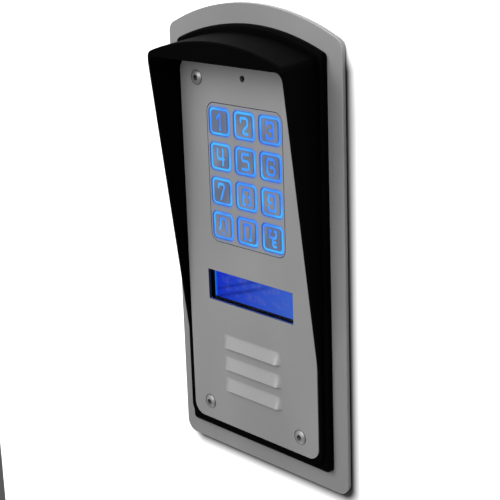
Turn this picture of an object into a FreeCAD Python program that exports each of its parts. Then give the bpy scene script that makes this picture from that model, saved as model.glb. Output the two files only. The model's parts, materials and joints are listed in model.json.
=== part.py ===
import FreeCAD, Part

import math
import os

from FreeCAD import Vector

# Door intercom panel for flush mounting: an arched trim plate, a moulded rain hood, a metal front
# plate with a twelve-key keypad, a display and a louvred loudspeaker, and a box sunk in the wall.
# Units are millimetres.  +Z is up, +X is to the right of a person who faces the panel, and the
# panel faces -Y.  The plane y = 0 is the face of the wall, and z = 0 lies midway between the four
# front screws.

# ---------------------------------------------------------------- driving dimensions

# Front plate, a pressed sheet
SHEET = 1.5
PLATE_FRONT = -9.0
PLATE_REAR = PLATE_FRONT + SHEET
PLATE_WIDTH = 96.8
PLATE_HEIGHT = 198.6
PLATE_CORNER = 7.0
EDGE_BREAK = 0.4
PLATE_GASKET_INSET = 0.3
PLATE_GASKET_OPENING = (87.0, 191.0)
OPENING_CORNER = 4.0

# Trim plate behind the hood
TRIM_REAR = -1.0
TRIM_THICK = 2.0
TRIM_FRONT = TRIM_REAR - TRIM_THICK
TRIM_HALF_WIDTH = 63.2
TRIM_BOTTOM = -115.9
TRIM_PEAK = 128.9
TRIM_ARCH = 145.0
TRIM_LOW_CORNER = 6.5
TRIM_HIGH_CORNER = 6.0
TRIM_OPENING_WIDTH = 84.0
TRIM_OPENING_HEIGHT = 190.0
WALL_HOLE_R = 2.1
WALL_HOLE_X = 48.0
WALL_HOLE_Z = 60.0
WALL_RING_INSET = 3.0
WALL_RING_OPENING = (102.0, 206.0)
WALL_RING_CORNER = 6.0
RIM_RING_WIDTH = 1.8

# Hood: flange, walls, roof and soffit
FLANGE_FRONT = -6.7
FLANGE_HALF_WIDTH = 53.4
FLANGE_BOTTOM = -105.2
FLANGE_PEAK = 118.7
FLANGE_ARCH = 140.0
FLANGE_ROUND = 1.5
FLANGE_CORNERS = (2.4, 3.0)
HOOD_CORNERS = (8.0, 4.0)
HOOD_EDGE = 0.8
HOOD_ARCH = 150.0
HOOD_FRONT = -28.5
HOOD_BOTTOM = -102.0
HOOD_BASE_HALF_WIDTH = 51.0
HOOD_FRONT_HALF_WIDTH = 50.5
HOOD_BASE_PEAK = 115.1
HOOD_FRONT_PEAK = 112.6
HOOD_INNER_HALF_WIDTH = 49.0
HOOD_INNER_BOTTOM = -99.9
HOOD_INNER_CORNERS = (7.5, 4.5)
SOFFIT_BASE = 99.9
SOFFIT_FRONT = 101.8
RIM_KINK_Z = -50.0
HOOD_SKIN = 2.2
POCKET_FRONT_HALF_WIDTH = 34.0
POCKET_REAR_HALF_WIDTH = 40.0
POCKET_CORNERS = (0.6, 0.8)
HOOD_RIB = 1.6
HOOD_RIB_PITCH = 22.0
LEDGE_OPENING_WIDTH = 83.0
LEDGE_OPENING_HEIGHT = 189.0

# Front screws, M4 with raised countersunk heads, a hexagon socket and a centre pin
SCREW_X = 35.15
SCREW_Z = 89.65
SCREW_R = 2.0
SCREW_LENGTH = 25.0
SCREW_HEAD_R = 3.85
SCREW_DOME = 1.0
SCREW_RIM = PLATE_FRONT + 0.1
SCREW_SEAT = PLATE_FRONT + 0.35
SCREW_RING_R = 4.3
SCREW_SEAT_GAP = 0.02
SCREW_SOCKET = 3.0
SCREW_SOCKET_DEPTH = 1.8
SCREW_PIN_R = 0.45
SCREW_PIN_SUNK = 0.8

# Keypad
KEYPAD_WIDTH = 55.6
KEYPAD_HEIGHT = 73.3
KEYPAD_CORNER = 5.0
KEYPAD_Z = 41.1
KEYPAD_GAP = 0.45
KEY_PITCH_X = 18.8
KEY_PITCH_Z = 18.35
KEY_ROWS_Z = 40.85
KEY_HOLE_WIDTH = 16.0
KEY_HOLE_HEIGHT = 14.9
KEY_HOLE_CORNER = 3.0
KEY_CAP_WIDTH = 11.9
KEY_CAP_HEIGHT = 11.4
KEY_CAP_CORNER = 1.8
KEY_CAP_THICK = 0.45
KEY_SIDE_GAP = 0.3
KEY_LIP = 0.6
KEY_LIP_THICK = 1.2
KEY_REST_GAP = 0.1
KEY_TRAVEL = 0.8
KEY_STEM = 7.0
KEY_STEM_END = -3.7
KEY_WELL_WIDTH = 17.9
KEY_WELL_HEIGHT = 16.9
KEY_WELL_CORNER = 3.4
GLYPH_HALF_WIDTH = 2.5
GLYPH_HALF_HEIGHT = 3.95
GLYPH_STROKE = 1.5
GLYPH_BEND = 1.25
GLYPH_RECESS = 0.2
HOUSING_WIDTH = 65.0
HOUSING_HEIGHT = 81.0
HOUSING_CORNER = 4.0
KEYPAD_STUD_X = 30.05
KEYPAD_STUD_Z = 32.6
KEYPAD_STUD_END = 3.4
MAT_FRONT = -2.6
MAT_THICK = 1.0
MAT_WIDTH = 56.0
MAT_HEIGHT = 76.0
MAT_CORNER = 2.0
MAT_GAP = 0.3
DOME_R = 5.1
DOME_TOP_R = 3.6
DOME_SKIN = 0.6
DOME_ROOF = 0.5
PILL_R = 1.6
LED_BELOW = 6.5
LED_WIDTH = 3.0
LED_HEIGHT = 1.6
LED_THICK = 0.8
LED_GAP = 0.3
BOARD_THICK = 1.6

# Display
WINDOW_WIDTH = 64.5
WINDOW_HEIGHT = 16.7
WINDOW_Z = -20.78
WINDOW_CORNER = 1.5
SEAL_REAR = -6.9
SEAL_WIDTH = 71.0
SEAL_HEIGHT = 21.6
SEAL_Z = -20.1
PANE_WIDTH = 71.0
PANE_HEIGHT = 23.1
PANE_Z = -19.15
PANE_REAR = -6.1
CELL_FRONT = -5.1
CELL_REAR = -3.1
CELL_WIDTH = 70.0
CELL_HEIGHT = 23.0
DISPLAY_BOARD_FRONT = -0.6
DISPLAY_Z = -19.9
DISPLAY_VIEW_WIDTH = 62.6
DISPLAY_VIEW_HEIGHT = 16.4
DISPLAY_SHELL_WIDTH = 71.2
DISPLAY_SHELL_HEIGHT = 24.2
DISPLAY_SHELL_SKIN = 0.5
DISPLAY_BOARD_WIDTH = 80.0
DISPLAY_BOARD_HEIGHT = 36.0
DISPLAY_HOLE_X = 37.5
DISPLAY_HOLE_Z = 15.5

# Louvres and loudspeaker
LOUVRE_HALF_WIDTH = 23.0
LOUVRE_HEIGHT = 7.4
LOUVRE_PITCH = 12.25
LOUVRE_LOWEST = -78.2
LOUVRE_COUNT = 3
LOUVRE_RISE = 2.0
LOUVRE_END = 4.2
LOUVRE_SOFTNESS = 0.07
LOUVRE_SKIN = 0.9
LOUVRE_WALL = 1.6
LOUVRE_SLIT = 0.6
LOUVRE_GRID = (47, 15)
SPEAKER_Z = -63.2
SPEAKER_R = 25.0
SPEAKER_LUG_R = 3.6
SPEAKER_LUG_REACH = 27.5
SPEAKER_STUD_END = -2.8
BASKET_MOUTH_R = 22.4
BASKET_WALL_R = 23.6
BASKET_BACK_R = 13.9
BASKET_BACK = 5.4
BASKET_SKIN = 0.9
BASKET_WINDOW = (16.0, 30.0, -4.0, 3.6)
COIL_HOLE_R = 6.8
POLE_R = 5.7
YOKE_R = 13.0
YOKE_THICK = 2.0
MAGNET_R = 14.5
MAGNET_BORE_R = 7.5
MAGNET_THICK = 6.0
SCREEN_REAR = -7.1
SPEAKER_RIM_REAR = -6.2

# Microphone
MIC_Z = 92.1
MIC_HOLE_R = 1.75
MIC_BOOT_R = 5.0
MIC_R = 3.0
MIC_FRONT = -6.3
MIC_REAR = -3.6
MIC_BOOT_REAR = -3.3
MIC_NOTCH_R = 5.6
MIC_PORT_R = 1.2

# Small fasteners, M3
STUD_R = 1.5
STUD_HOLE_R = 1.65
NUT_ACROSS_FLATS = 5.5
NUT_THICK = 2.4
NUT_BORE_R = 1.53
PILLAR_ACROSS_FLATS = 5.0

# Main board
MAIN_FRONT = 20.0
MAIN_WIDTH = 79.0
MAIN_HEIGHT = 160.0
MAIN_HOLE_X = 36.5
MAIN_HOLE_TOP = 70.0
MAIN_HOLE_LOW = -44.0
RELAY_SIZE = (15.6, 15.3, 19.2)
RELAY_AT = (-20.0, -24.0)
CAPACITOR_R = 5.0
CAPACITOR_HEIGHT = 12.5
CAPACITOR_PLACES = ((8.0, -20.0), (22.0, -20.0))
TERMINAL_PITCH = 5.08
TERMINAL_WAYS = 5
TERMINAL_HEIGHT = 8.2
TERMINAL_DEPTH = 10.0
TERMINAL_X = 14.5
TERMINAL_Z = -66.0

# Flush box
BOX_WIDTH = 88.0
BOX_HEIGHT = 196.0
BOX_DEPTH = 45.0
BOX_WALL = 2.0
BOX_CORNER = 5.0
BOX_RIB = 3.0
BOSS_R = 4.75
BOSS_FRONT = 3.0
INSERT_R = 2.8
INSERT_LENGTH = 10.0
INSERT_BORE_R = 2.05
BOSS_BORE_R = 2.2
BOSS_BORE_DEPTH = 22.0
BOX_HOLE_R = 2.4
BOX_HOLE_X = 28.0
BOX_HOLE_Z = 65.0
CONDUIT_R = 10.25
CONDUIT_Y = 22.0
CABLE_R = 4.5
GROMMET_LIP_R = 13.0
GROMMET_LIP = 1.5

# ---------------------------------------------------------------- shape helpers


def rounded_block(width, height, front, rear, radius, x=0.0, z=0.0):
    """Block centred on x and z that fills front <= y <= rear, with its edges along Y rounded."""
    block = Part.makeBox(width, rear - front, height, Vector(x - width / 2, front, z - height / 2))
    if radius <= 0:
        return block
    along_y = [e for e in block.Edges if abs(e.tangentAt(e.FirstParameter).y) > 0.9]
    return block.makeFillet(radius, along_y)


def rod(radius, front, rear, x=0.0, z=0.0):
    """Cylinder along Y."""
    return Part.makeCylinder(radius, rear - front, Vector(x, front, z), Vector(0, 1, 0))


def hexagon(across_flats, front, rear, x=0.0, z=0.0):
    """Hexagonal prism along Y, with two flats upright."""
    reach = across_flats / math.sqrt(3)
    angles = [math.radians(30 + 60 * n) for n in range(7)]
    points = [Vector(x + reach * math.cos(a), front, z + reach * math.sin(a)) for a in angles]
    return Part.Face(Part.makePolygon(points)).extrude(Vector(0, rear - front, 0))


def turned(profile, x=0.0, z=0.0):
    """Solid of revolution about the line along Y through (x, z), from (radius, y) corners."""
    points = [Vector(r, y, 0) for r, y in profile]
    face = Part.Face(Part.makePolygon(points + [points[0]]))
    solid = face.revolve(Vector(0, 0, 0), Vector(0, 1, 0), 360)
    solid.translate(Vector(x, 0, z))
    return solid


def prism(wire, rear):
    """Solid between a closed wire in a plane of constant y and the plane y = rear."""
    front = wire.Vertexes[0].Point.y
    return Part.Face(wire).extrude(Vector(0, rear - front, 0))


def line(p, q, y):
    return Part.makeLine(Vector(p[0], y, p[1]), Vector(q[0], y, q[1]))


def arc(p, mid, q, y):
    ends = [Vector(a[0], y, a[1]) for a in (p, mid, q)]
    return Part.Arc(*ends).toShape()


def on_circle(centre, radius, degrees):
    """Point of a circle in the XZ plane, with the angle counted from +X towards +Z."""
    a = math.radians(degrees)
    return (centre[0] + radius * math.cos(a), centre[1] + radius * math.sin(a))


def mirrored(p):
    return (-p[0], p[1])


def panel_wire(half_width, bottom, top, low_corner, high_corner, y, arch=None):
    """Closed outline with rounded corners, and a top that is flat or bulges up to `top`."""
    low = (half_width - low_corner, bottom + low_corner)
    if arch is None:
        high = (half_width - high_corner, top - high_corner)
        start_angle = 90.0
        arch_end = (high[0], top)
    else:
        centre_z = top - arch
        rise = math.sqrt((arch - high_corner) ** 2 - (half_width - high_corner) ** 2)
        high = (half_width - high_corner, centre_z + rise)
        start_angle = math.degrees(math.atan2(rise, high[0]))
        arch_end = on_circle((0.0, centre_z), arch, start_angle)
    foot = (low[0], bottom)
    side_low = (half_width, low[1])
    side_high = (half_width, high[1])
    low_mid = on_circle(low, low_corner, -45)
    high_mid = on_circle(high, high_corner, start_angle / 2)
    top_edge = (
        line(arch_end, mirrored(arch_end), y)
        if arch is None
        else arc(arch_end, (0.0, top), mirrored(arch_end), y)
    )
    return Part.Wire(
        [
            line(mirrored(foot), foot, y),
            arc(foot, low_mid, side_low, y),
            line(side_low, side_high, y),
            arc(side_high, high_mid, arch_end, y),
            top_edge,
            arc(mirrored(arch_end), mirrored(high_mid), mirrored(side_high), y),
            line(mirrored(side_high), mirrored(side_low), y),
            arc(mirrored(side_low), mirrored(low_mid), mirrored(foot), y),
        ]
    )


def loft(front_wire, rear_wire):
    return Part.makeLoft([front_wire, rear_wire], True, True)


def side_profile(points, half_width):
    """Solid whose outline in the YZ plane is given as (y, z) corners, centred on x = 0."""
    corners = [Vector(-half_width, y, z) for y, z in points]
    face = Part.Face(Part.makePolygon(corners + [corners[0]]))
    return face.extrude(Vector(2 * half_width, 0, 0))


def edges_at(shape, y):
    """Edges that lie wholly in the plane of this y."""
    return [e for e in shape.Edges if all(abs(v.Point.y - y) < 1e-6 for v in e.Vertexes)]


def four_corners(x, z, centre_z=0.0):
    return [(sx * x, centre_z + sz * z) for sx in (-1, 1) for sz in (-1, 1)]


def group(solids):
    return Part.makeCompound(solids)


# ---------------------------------------------------------------- key legends

# Strokes of each legend, as points in a box that runs from -1 to 1 both ways.  Every loop is left
# open, as in a stencil, so that no island falls out of the cap.
LEGENDS = {
    "1": [[(-0.85, 0.4), (0.15, 1), (0.15, -1)]],
    "2": [[(-1, 0.5), (-1, 1), (1, 1), (1, 0.1), (-0.9, -1), (1, -1)]],
    "3": [
        [(-1, 0.62), (-1, 1), (1, 1), (1, 0.02), (-0.1, 0.02)],
        [(1, -0.02), (1, -1), (-1, -1), (-1, -0.62)],
    ],
    "4": [[(-0.9, 1), (-1, -0.25), (1, -0.25)], [(0.7, 1), (0.7, -1)]],
    "5": [[(1, 1), (-1, 1), (-1, 0.1), (1, 0.1), (1, -1), (-1, -1)]],
    "6": [[(1, 0.58), (1, 1), (-1, 1), (-1, -1), (1, -1), (1, 0), (0, 0)]],
    "7": [[(-1, 0.55), (-1, 1), (1, 1), (-0.3, -1)]],
    "8": [
        [(-0.45, -1), (-1, -1), (-1, 1), (1, 1), (1, -1), (0.45, -1)],
        [(-1, 0.03), (-0.45, 0.03)],
        [(1, 0.03), (0.45, 0.03)],
    ],
    "9": [[(0, 0), (-1, 0), (-1, 1), (1, 1), (1, -1), (-1, -1), (-1, -0.55)]],
    "0": [[(-0.5, -1), (-1, -1), (-1, 1), (1, 1), (1, -1), (0.5, -1)]],
    "bell": [
        [(-1.3, -0.6), (-0.85, -0.1), (-0.75, 1), (0.75, 1), (0.85, -0.1), (1.3, -0.6)],
        [(-0.08, -1), (0.08, -1)],
    ],
    "unlock": [
        [(-0.45, 1), (-0.95, 1), (-0.95, 0.1), (0.95, 0.1), (0.95, 1), (0.45, 1)],
        [(0, 0.1), (0, -1), (0.9, -1)],
        [(0, -0.42), (0.8, -0.42)],
    ],
}

KEY_ROWS = [["1", "2", "3"], ["4", "5", "6"], ["7", "8", "9"], ["bell", "0", "unlock"]]


def key_places():
    """Name and centre (x, z) of each key."""
    places = []
    for row, names in enumerate(KEY_ROWS):
        for column, name in enumerate(names):
            z = KEY_ROWS_Z + (1.5 - row) * KEY_PITCH_Z
            places.append((name, (column - 1) * KEY_PITCH_X, z))
    return places


def bar(p, q, width, front, rear):
    """Straight stretch of a stroke, between two (x, z) points."""
    dx, dz = q[0] - p[0], q[1] - p[1]
    length = math.hypot(dx, dz)
    nx, nz = -dz / length * width / 2, dx / length * width / 2
    corners = [(p[0] + nx, p[1] + nz), (q[0] + nx, q[1] + nz), (q[0] - nx, q[1] - nz)]
    corners.append((p[0] - nx, p[1] - nz))
    points = [Vector(x, front, z) for x, z in corners]
    return Part.Face(Part.makePolygon(points + [points[0]])).extrude(Vector(0, rear - front, 0))


def bend(p, corner, q, radius, width, front, rear):
    """Curved stretch of a stroke where it turns at `corner`; returns it and its two end points."""
    to_p = (Vector(p[0], 0, p[1]) - Vector(corner[0], 0, corner[1])).normalize()
    to_q = (Vector(q[0], 0, q[1]) - Vector(corner[0], 0, corner[1])).normalize()
    half = to_p.getAngle(to_q) / 2
    away = radius / math.tan(half)
    at = Vector(corner[0], front, corner[1])
    start, end = at + to_p * away, at + to_q * away
    inward = (to_p + to_q).normalize()
    centre = at + inward * (radius / math.sin(half))
    ends = []
    for r in (radius - width / 2, radius + width / 2):
        points = [centre + (v - centre).normalize() * r for v in (start, at, end)]
        ends.append(points)
    inner, outer = ends
    wire = Part.Wire(
        [
            Part.Arc(*inner).toShape(),
            Part.makeLine(inner[2], outer[2]),
            Part.Arc(*reversed(outer)).toShape(),
            Part.makeLine(outer[0], inner[0]),
        ]
    )
    piece = Part.Face(wire).extrude(Vector(0, rear - front, 0))
    return piece, (start.x, start.z), (end.x, end.z)


def stroke(points, front, rear):
    """One stroke with round ends and rounded turns."""
    pieces = []
    at = points[0]
    last = len(points) - 1
    for n in range(1, len(points)):
        if n < last:
            shortest = min(math.dist(points[n - 1], points[n]), math.dist(points[n], points[n + 1]))
            radius = min(GLYPH_BEND, 0.49 * shortest * turn_room(points[n - 1 : n + 2]))
            if radius > GLYPH_STROKE / 2 + 0.02:
                curve, start, end = bend(*points[n - 1 : n + 2], radius, GLYPH_STROKE, front, rear)
                pieces += [bar(at, start, GLYPH_STROKE, front, rear), curve]
                at = end
                continue
            pieces.append(rod(GLYPH_STROKE / 2, front, rear, *points[n]))
        pieces.append(bar(at, points[n], GLYPH_STROKE, front, rear))
        at = points[n]
    for end in (points[0], points[last]):
        pieces.append(rod(GLYPH_STROKE / 2, front, rear, *end))
    return pieces


def turn_room(three):
    """How large a bend radius each unit of run beside a corner allows."""
    before = Vector(three[0][0] - three[1][0], 0, three[0][1] - three[1][1])
    after = Vector(three[2][0] - three[1][0], 0, three[2][1] - three[1][1])
    return math.tan(before.getAngle(after) / 2)


def legend(name, x, z, front, rear):
    """The legend of one key as a solid."""
    pieces = []
    for points in LEGENDS[name]:
        placed = [(x + px * GLYPH_HALF_WIDTH, z + pz * GLYPH_HALF_HEIGHT) for px, pz in points]
        pieces += stroke(placed, front, rear)
    return pieces[0].multiFuse(pieces[1:]).removeSplitter()


# ---------------------------------------------------------------- outer parts


def louvre_rise(across, down):
    """Height of a louvre as a share of its full rise.

    `across` is the distance from its nearer end and `down` that from its top edge, both as shares
    of the sloping part.  The sheet leaves the plate softly on three sides and slopes straight down
    to the lower edge.
    """
    full = math.hypot(1.0, LOUVRE_SOFTNESS) - LOUVRE_SOFTNESS
    slope = (math.hypot(down, LOUVRE_SOFTNESS) - LOUVRE_SOFTNESS) / full
    end = min(1.0, across)
    return slope * (1.0 - (1.0 - end * end) ** 2)


def pressed_block(half_width, z_low, z_high, start, rise, rear):
    """Block with a pressed front, which starts at y = `start` and comes forward by `rise`."""
    columns, rows = LOUVRE_GRID
    points = []
    for column in range(columns):
        x = half_width * (2.0 * column / (columns - 1) - 1.0)
        across = (half_width - abs(x)) / LOUVRE_END
        line_up = []
        for row in range(rows):
            down = row / (rows - 1)
            y = start - rise * louvre_rise(across, down)
            line_up.append(Vector(x, y, z_high + (z_low - z_high) * down))
        points.append(line_up)
    surface = Part.BSplineSurface()
    surface.interpolate(points)
    depth = 2 * (rear - start + rise)
    block = surface.toShape().extrude(Vector(0, depth, 0))
    room = Part.makeBox(2 * half_width + 2, rear - start + rise + 1, z_high - z_low + 2,
                        Vector(-half_width - 1, start - rise - 1, z_low - 1))
    return block.common(room)


def louvre(z_low):
    """One pressed louvre as (piece of sheet that it replaces, pressed block, hollow to cut)."""
    z_high = z_low + LOUVRE_HEIGHT
    blank = Part.makeBox(2 * LOUVRE_HALF_WIDTH, SHEET, LOUVRE_HEIGHT,
                         Vector(-LOUVRE_HALF_WIDTH, PLATE_FRONT, z_low))
    skin = pressed_block(LOUVRE_HALF_WIDTH, z_low, z_high, PLATE_FRONT, LOUVRE_RISE, PLATE_REAR)
    hollow = pressed_block(LOUVRE_HALF_WIDTH - LOUVRE_WALL, z_low - LOUVRE_SLIT,
                           z_high - LOUVRE_WALL, PLATE_FRONT + LOUVRE_SKIN / 2,
                           LOUVRE_RISE - LOUVRE_SKIN / 2, PLATE_REAR + 0.5)
    return blank, skin, hollow


def screw_sink(x, z):
    """Countersunk hole for a front screw, with a narrow ring of shadow round the head."""
    ahead, behind = PLATE_FRONT - 1.0, PLATE_REAR + 0.1
    seat_r = SCREW_HEAD_R + SCREW_SEAT_GAP
    outline = [
        (0, ahead),
        (SCREW_RING_R, ahead),
        (SCREW_RING_R, SCREW_SEAT),
        (seat_r, SCREW_SEAT),
        (seat_r - (behind - SCREW_SEAT), behind),
        (0, behind),
    ]
    return turned(outline, x, z)


def front_plate():
    """Pressed sheet with its edges broken, and openings for the keypad, display and screws."""
    plate = rounded_block(PLATE_WIDTH, PLATE_HEIGHT, PLATE_FRONT, PLATE_REAR, PLATE_CORNER)
    plate = plate.makeFillet(EDGE_BREAK, edges_at(plate, PLATE_FRONT))
    reach = (PLATE_FRONT - 1, PLATE_REAR + 1)
    openings = [
        rounded_block(KEYPAD_WIDTH + 2 * KEYPAD_GAP, KEYPAD_HEIGHT + 2 * KEYPAD_GAP, *reach,
                      KEYPAD_CORNER + KEYPAD_GAP, z=KEYPAD_Z),
        rounded_block(WINDOW_WIDTH, WINDOW_HEIGHT, *reach, WINDOW_CORNER, z=WINDOW_Z),
        rod(MIC_HOLE_R, *reach, z=MIC_Z),
    ]
    openings += [screw_sink(x, z) for x, z in four_corners(SCREW_X, SCREW_Z)]
    for n in range(LOUVRE_COUNT):
        blank, skin, hollow = louvre(LOUVRE_LOWEST + n * LOUVRE_PITCH)
        plate = plate.cut(blank).fuse(skin).cut(hollow)
    for opening in openings:
        plate = plate.cut(opening)
    return plate.removeSplitter()


def plate_gasket():
    outer = rounded_block(PLATE_WIDTH - 2 * PLATE_GASKET_INSET,
                          PLATE_HEIGHT - 2 * PLATE_GASKET_INSET, PLATE_REAR, FLANGE_FRONT,
                          PLATE_CORNER)
    inner = rounded_block(*PLATE_GASKET_OPENING, PLATE_REAR - 1, FLANGE_FRONT + 1, OPENING_CORNER)
    notch = rod(MIC_NOTCH_R, PLATE_REAR - 1, FLANGE_FRONT + 1, z=MIC_Z)
    return outer.cut(inner).cut(notch)


def hood_pockets():
    """Ribbed hollows above the soffit, open at the back, that keep the moulding even in thickness."""
    core = loft(
        panel_wire(POCKET_FRONT_HALF_WIDTH, SOFFIT_FRONT + HOOD_SKIN, HOOD_FRONT_PEAK - HOOD_SKIN,
                   *POCKET_CORNERS, HOOD_FRONT + HOOD_SKIN, HOOD_ARCH),
        panel_wire(POCKET_REAR_HALF_WIDTH, SOFFIT_BASE + HOOD_SKIN, HOOD_BASE_PEAK - HOOD_SKIN,
                   *POCKET_CORNERS, TRIM_FRONT + 0.01, HOOD_ARCH),
    )
    tall = HOOD_BASE_PEAK - SOFFIT_BASE
    for n in (-1.5, -0.5, 0.5, 1.5):
        x = n * HOOD_RIB_PITCH
        core = core.cut(rounded_block(HOOD_RIB, 2 * tall, HOOD_FRONT, 0.0, 0, x, SOFFIT_BASE))
    return core


def hood():
    """Rain hood: a flange on the trim plate, a ledge for the front plate, walls, roof and soffit."""
    flange = prism(
        panel_wire(FLANGE_HALF_WIDTH, FLANGE_BOTTOM, FLANGE_PEAK, *FLANGE_CORNERS, FLANGE_FRONT,
                   FLANGE_ARCH),
        TRIM_FRONT,
    )
    flange = flange.makeFillet(FLANGE_ROUND, edges_at(flange, FLANGE_FRONT))
    shell = loft(
        panel_wire(HOOD_FRONT_HALF_WIDTH, HOOD_BOTTOM, HOOD_FRONT_PEAK, *HOOD_CORNERS, HOOD_FRONT,
                   HOOD_ARCH),
        panel_wire(HOOD_BASE_HALF_WIDTH, HOOD_BOTTOM, HOOD_BASE_PEAK, *HOOD_CORNERS,
                   TRIM_FRONT - 1, HOOD_ARCH),
    )
    shell = shell.makeFillet(HOOD_EDGE, edges_at(shell, HOOD_FRONT))
    ahead = HOOD_FRONT - 20
    beyond_rim = side_profile(
        [
            (ahead, SOFFIT_FRONT),
            (HOOD_FRONT, SOFFIT_FRONT),
            (PLATE_FRONT, RIM_KINK_Z),
            (PLATE_FRONT, HOOD_BOTTOM - 10),
            (ahead, HOOD_BOTTOM - 10),
        ],
        HOOD_BASE_HALF_WIDTH + 10,
    )
    slope = (SOFFIT_FRONT - SOFFIT_BASE) / (FLANGE_FRONT - HOOD_FRONT)
    recess = loft(
        panel_wire(HOOD_INNER_HALF_WIDTH, HOOD_INNER_BOTTOM, SOFFIT_FRONT + slope,
                   *HOOD_INNER_CORNERS, HOOD_FRONT - 1),
        panel_wire(HOOD_INNER_HALF_WIDTH, HOOD_INNER_BOTTOM, SOFFIT_BASE, *HOOD_INNER_CORNERS,
                   FLANGE_FRONT),
    )
    ledge_opening = rounded_block(LEDGE_OPENING_WIDTH, LEDGE_OPENING_HEIGHT, FLANGE_FRONT - 1,
                                  TRIM_FRONT + 1, OPENING_CORNER)
    notch = rod(MIC_NOTCH_R, FLANGE_FRONT - 1, TRIM_FRONT + 1, z=MIC_Z)
    body = flange.fuse(shell.cut(beyond_rim))
    for hollow in (recess, ledge_opening, notch, hood_pockets()):
        body = body.cut(hollow)
    return body.removeSplitter()


def back_plate():
    wire = panel_wire(TRIM_HALF_WIDTH, TRIM_BOTTOM, TRIM_PEAK, TRIM_LOW_CORNER, TRIM_HIGH_CORNER,
                      TRIM_FRONT, TRIM_ARCH)
    plate = prism(wire, TRIM_REAR)
    plate = plate.makeFillet(EDGE_BREAK, edges_at(plate, TRIM_FRONT))
    reach = (TRIM_FRONT - 1, TRIM_REAR + 1)
    plate = plate.cut(rounded_block(TRIM_OPENING_WIDTH, TRIM_OPENING_HEIGHT, *reach, OPENING_CORNER))
    for x, z in four_corners(WALL_HOLE_X, WALL_HOLE_Z):
        plate = plate.cut(rod(WALL_HOLE_R, *reach, x, z))
    return plate


def trim_gaskets():
    """Foam rings on the back of the trim plate: one against the wall, one against the box's rim."""
    inset = WALL_RING_INSET
    reach = (TRIM_REAR - 1, 1.0)
    wall_ring = prism(
        panel_wire(TRIM_HALF_WIDTH - inset, TRIM_BOTTOM + inset, TRIM_PEAK - inset,
                   TRIM_LOW_CORNER - inset, TRIM_HIGH_CORNER - inset, TRIM_REAR, TRIM_ARCH - inset),
        0.0,
    )
    wall_ring = wall_ring.cut(rounded_block(*WALL_RING_OPENING, *reach, WALL_RING_CORNER))
    box_ring = rounded_block(BOX_WIDTH, BOX_HEIGHT, TRIM_REAR, 0.0, BOX_CORNER)
    inside = rounded_block(BOX_WIDTH - 2 * RIM_RING_WIDTH, BOX_HEIGHT - 2 * RIM_RING_WIDTH, *reach,
                           BOX_CORNER - RIM_RING_WIDTH)
    return group([wall_ring, box_ring.cut(inside)])


def front_screw(x, z):
    """Machine screw with a raised countersunk head and a tamper-resistant socket."""
    top = PLATE_FRONT - SCREW_DOME
    rise = SCREW_RIM - top
    dome_r = (SCREW_HEAD_R**2 + rise**2) / (2 * rise)
    middle_r = SCREW_HEAD_R / 2
    middle = Vector(middle_r, top + dome_r - math.sqrt(dome_r**2 - middle_r**2), 0)
    cone_end = SCREW_SEAT + SCREW_HEAD_R - SCREW_R
    corners = [
        Vector(SCREW_HEAD_R, SCREW_RIM, 0),
        Vector(SCREW_HEAD_R, SCREW_SEAT, 0),
        Vector(SCREW_R, cone_end, 0),
        Vector(0, cone_end, 0),
        Vector(0, top, 0),
    ]
    outline = [Part.makeLine(p, q) for p, q in zip(corners, corners[1:])]
    outline.append(Part.Arc(corners[-1], middle, corners[0]).toShape())
    head = Part.Face(Part.Wire(outline)).revolve(Vector(0, 0, 0), Vector(0, 1, 0), 360)
    shank = rod(SCREW_R, cone_end - 0.5, PLATE_FRONT + SCREW_LENGTH)
    socket = hexagon(SCREW_SOCKET, top - 1, top + SCREW_SOCKET_DEPTH)
    pin = rod(SCREW_PIN_R, top + SCREW_PIN_SUNK, top + SCREW_SOCKET_DEPTH + 0.1)
    screw = head.fuse(shank).cut(socket).fuse(pin).removeSplitter()
    screw.translate(Vector(x, 0, z))
    return screw


def front_screws():
    return group([front_screw(x, z) for x, z in four_corners(SCREW_X, SCREW_Z)])


# ---------------------------------------------------------------- keypad


def keypad_plate():
    plate = rounded_block(KEYPAD_WIDTH, KEYPAD_HEIGHT, PLATE_FRONT, PLATE_REAR, KEYPAD_CORNER,
                          z=KEYPAD_Z)
    for _, x, z in key_places():
        hole = rounded_block(KEY_HOLE_WIDTH, KEY_HOLE_HEIGHT, PLATE_FRONT - 1, PLATE_REAR + 1,
                             KEY_HOLE_CORNER, x, z)
        plate = plate.cut(hole)
    return plate


def key_cap(name, x, z):
    """Thin metal cap of a key, with its legend cut through."""
    rear = PLATE_FRONT + KEY_CAP_THICK
    cap = rounded_block(KEY_CAP_WIDTH, KEY_CAP_HEIGHT, PLATE_FRONT, rear, KEY_CAP_CORNER, x, z)
    return cap.cut(legend(name, x, z, PLATE_FRONT - 1, rear + 1))


def key_light(name, x, z):
    """Clear body of a key: it shows as a ring round the cap and fills the legend."""
    shoulder = PLATE_FRONT + KEY_CAP_THICK
    lip_front = PLATE_REAR + KEY_REST_GAP
    lip_rear = lip_front + KEY_LIP_THICK
    width = KEY_HOLE_WIDTH - 2 * KEY_SIDE_GAP
    height = KEY_HOLE_HEIGHT - 2 * KEY_SIDE_GAP
    body = rounded_block(width, height, shoulder, lip_front, KEY_HOLE_CORNER - KEY_SIDE_GAP, x, z)
    lip = rounded_block(KEY_HOLE_WIDTH + 2 * KEY_LIP, KEY_HOLE_HEIGHT + 2 * KEY_LIP, lip_front,
                        lip_rear, KEY_HOLE_CORNER, x, z)
    stem = rounded_block(KEY_STEM, KEY_STEM, lip_rear, KEY_STEM_END, 1.0, x, z)
    fill = legend(name, x, z, PLATE_FRONT + GLYPH_RECESS, shoulder)
    return body.multiFuse([lip, stem, fill]).removeSplitter()


def keypad_studs():
    return four_corners(KEYPAD_STUD_X, KEYPAD_STUD_Z, KEYPAD_Z)


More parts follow.
